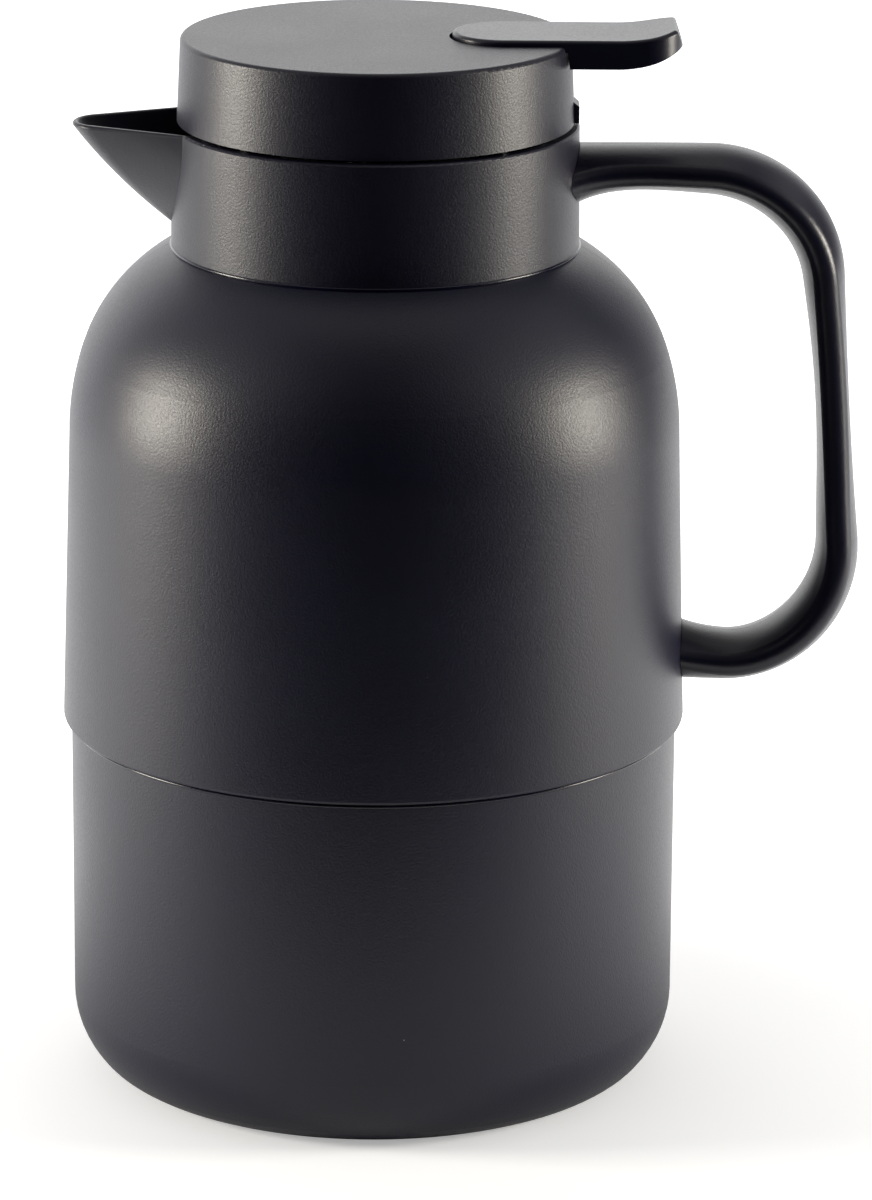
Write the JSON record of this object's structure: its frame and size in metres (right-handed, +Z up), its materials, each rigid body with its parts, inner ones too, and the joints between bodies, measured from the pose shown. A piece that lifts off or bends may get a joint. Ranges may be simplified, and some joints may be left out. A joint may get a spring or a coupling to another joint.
{
  "type": "thermal carafe",
  "caption": "Black vacuum carafe with a stepped round body, V-shaped spout, C-shaped handle and a screw lid whose thumb lever opens a spring valve for pouring.",
  "frame": {"origin": "on the floor, on the axis of the round body, in the plane of the foot ring", "axes": "+Z up along the body's axis, +X towards the handle, -X towards the spout, Y across"},
  "size_m": [0.1863, 0.146, 0.2496],
  "materials": {
    "shell": "matte",
    "satin_black": "satin",
    "lever_black": "satin",
    "inner_black": "satin",
    "flask_glass": "polished",
    "silicone": "matte",
    "cushion_rubber": "matte",
    "felt": "matte",
    "steel": "satin"
  },
  "bodies": {
    "jug": {"lower_shell": "shell", "upper_shell": "shell", "spout_collar": "satin_black", "handle": "satin_black", "handle_screw": "steel", "outer_flask": "flask_glass", "inner_flask": "flask_glass", "flask_pads": "felt", "neck_seal": "silicone", "base_cushion": "cushion_rubber"},
    "gasket": {"lid_gasket": "silicone"},
    "lid": {"lid_cap": "satin_black", "stopper": "inner_black", "guide_plate": "inner_black", "lid_screws": "steel", "lever_pin": "steel", "stem_grommet": "silicone", "valve_spring": "steel"},
    "lever": {"lever": "lever_black"},
    "valve": {"valve_stem": "inner_black", "valve_washer": "silicone", "washer_retainer": "inner_black"}
  },
  "joints": [
    {"name": "lid_lift", "type": "slide", "parent": "jug", "child": "gasket", "axis": [0, 0, 1], "range_m": [0, 0.06]},
    {"name": "lid_turn", "type": "hinge", "parent": "gasket", "child": "lid", "pos_m": [0, 0, 0.227], "axis": [0, 0, 1], "range_deg": [0, 120]},
    {"name": "lever_press", "type": "hinge", "parent": "lid", "child": "lever", "pos_m": [0.039, 0, 0.24047], "axis": [0, 1, 0], "range_deg": [0, 7.5], "stiffness_Nm_per_rad": 0.76, "springref_deg": -5.88},
    {"name": "valve_lift", "type": "slide", "parent": "lid", "child": "valve", "axis": [0, 0, 1], "range_m": [0, 0.0052], "deforming": ["valve_spring"]}
  ],
  "couplings": [
    {"joint": "valve_lift", "follows": "lever_press", "m_per_rad": 0.039}
  ]
}
